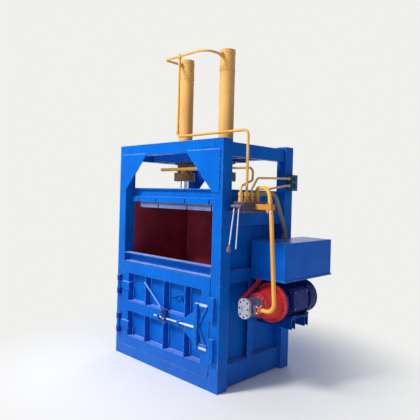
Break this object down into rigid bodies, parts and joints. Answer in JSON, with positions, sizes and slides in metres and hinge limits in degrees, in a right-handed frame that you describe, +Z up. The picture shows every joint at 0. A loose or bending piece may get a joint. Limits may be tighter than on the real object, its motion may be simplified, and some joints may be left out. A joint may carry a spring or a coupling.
{
  "type": "coir baling press",
  "caption": "Vertical hydraulic baling press: overhead cylinders drive a platen down into a box with a latched door, fed by a side pump unit, oil tank and hand valve.",
  "frame": {"origin": "floor under the centre of the post frame", "axes": "+X along the door towards the power unit, +Y to the back, +Z up"},
  "size_m": [1.7686, 1.1835, 2.865],
  "materials": {
    "frame_blue": "glossy blue enamel",
    "wall_paint": "blue enamel outside, dark red enamel inside",
    "cylinder_yellow": "ochre yellow enamel",
    "pipe_yellow": "yellow enamel",
    "return_yellow": "dulled yellow enamel",
    "suction_red": "red enamel",
    "rod_chrome": "hard chrome",
    "bolt_steel": "oiled steel",
    "bright_steel": "bright drawn steel",
    "fitting_brass": "zinc yellow",
    "valve_iron": "dark cast surface",
    "block_teal": "teal blue enamel",
    "motor_navy": "navy enamel over castings",
    "bell_red": "red enamel over a casting",
    "pump_iron": "grey cast surface",
    "pump_face": "machined",
    "shaft_steel": "ground steel"
  },
  "bodies": {
    "frame": {"base_frame": "frame_blue", "bell_housing": "bell_red", "block_pipe_lower": "pipe_yellow", "block_pipe_upper": "pipe_yellow", "cap_feed_pipe": "pipe_yellow", "cap_pipe": "pipe_yellow", "cylinder_bridge": "frame_blue", "cylinder_left": "cylinder_yellow", "cylinder_right": "cylinder_yellow", "fan_cover": "motor_navy", "gland_bolts": "bolt_steel", "gland_left": "cylinder_yellow", "gland_right": "cylinder_yellow", "gusset_front_left": "frame_blue", "gusset_front_right": "frame_blue", "hinge_bracket_lower": "frame_blue", "hinge_bracket_upper": "frame_blue", "hinge_pin_lower": "bolt_steel", "hinge_pin_upper": "bolt_steel", "keeper_lower": "frame_blue", "keeper_upper": "frame_blue", "manifold_block": "block_teal", "motor_base": "frame_blue", "motor_housing": "motor_navy", "oil_tank": "frame_blue", "pipe_arm": "pipe_yellow", "post_front_left": "frame_blue", "post_front_right": "frame_blue", "post_rear_left": "frame_blue", "post_rear_right": "frame_blue", "pressure_pipe": "pipe_yellow", "pump_body": "pump_iron", "pump_cover": "pump_face", "rear_wall": "wall_paint", "return_pipe": "return_yellow", "rod_feed_pipe": "pipe_yellow", "rod_header": "pipe_yellow", "side_wall_left": "wall_paint", "side_wall_right": "wall_paint", "sill": "frame_blue", "suction_pipe": "suction_red", "terminal_box": "motor_navy", "top_beam_front": "frame_blue", "top_beam_left": "frame_blue", "top_beam_rear": "frame_blue", "top_beam_right": "frame_blue", "valve_body": "valve_iron", "valve_fittings": "fitting_brass"},
    "platen": {"platen": "frame_blue", "piston_rod_left": "rod_chrome", "piston_rod_right": "rod_chrome"},
    "door": {"door_panel": "frame_blue", "door_frame": "frame_blue", "lever_pivot": "bolt_steel"},
    "latch": {"latch_frame": "frame_blue", "latch_bar": "bright_steel"},
    "lock_lever": {"lock_lever": "bright_steel"},
    "valve_lever_inner": {"valve_lever_inner": "bright_steel"},
    "valve_lever_outer": {"valve_lever_outer": "bright_steel"},
    "drive": {"drive_shaft": "shaft_steel"}
  },
  "joints": [
    {"name": "platen_press", "type": "slide", "parent": "frame", "child": "platen", "axis": [0, 0, -1], "range_m": [0, 0.88]},
    {"name": "door_swing", "type": "hinge", "parent": "frame", "child": "door", "pos_m": [-0.625, -0.49, 0.495], "axis": [0, 0, -1], "range_deg": [0, 115]},
    {"name": "latch_slide", "type": "slide", "parent": "door", "child": "latch", "axis": [1, 0, 0], "range_m": [0, 0.045]},
    {"name": "lever_turn", "type": "hinge", "parent": "door", "child": "lock_lever", "pos_m": [0.062, -0.505, 0.531], "axis": [0, -1, 0], "range_deg": [0, 36.6]},
    {"name": "inner_lever_tilt", "type": "hinge", "parent": "frame", "child": "valve_lever_inner", "pos_m": [0.763, -0.412, 1.468], "axis": [1, 0, 0], "range_deg": [-14, 14], "stiffness_Nm_per_rad": 20},
    {"name": "outer_lever_tilt", "type": "hinge", "parent": "frame", "child": "valve_lever_outer", "pos_m": [0.809, -0.412, 1.468], "axis": [1, 0, 0], "range_deg": [-14, 14], "stiffness_Nm_per_rad": 20},
    {"name": "drive_spin", "type": "hinge", "parent": "frame", "child": "drive", "pos_m": [0.835, 0, 0.68], "axis": [0, 1, 0], "continuous": true}
  ],
  "couplings": [
    {"joint": "lever_turn", "follows": "latch_slide", "rad_per_m": 14.13}
  ]
}
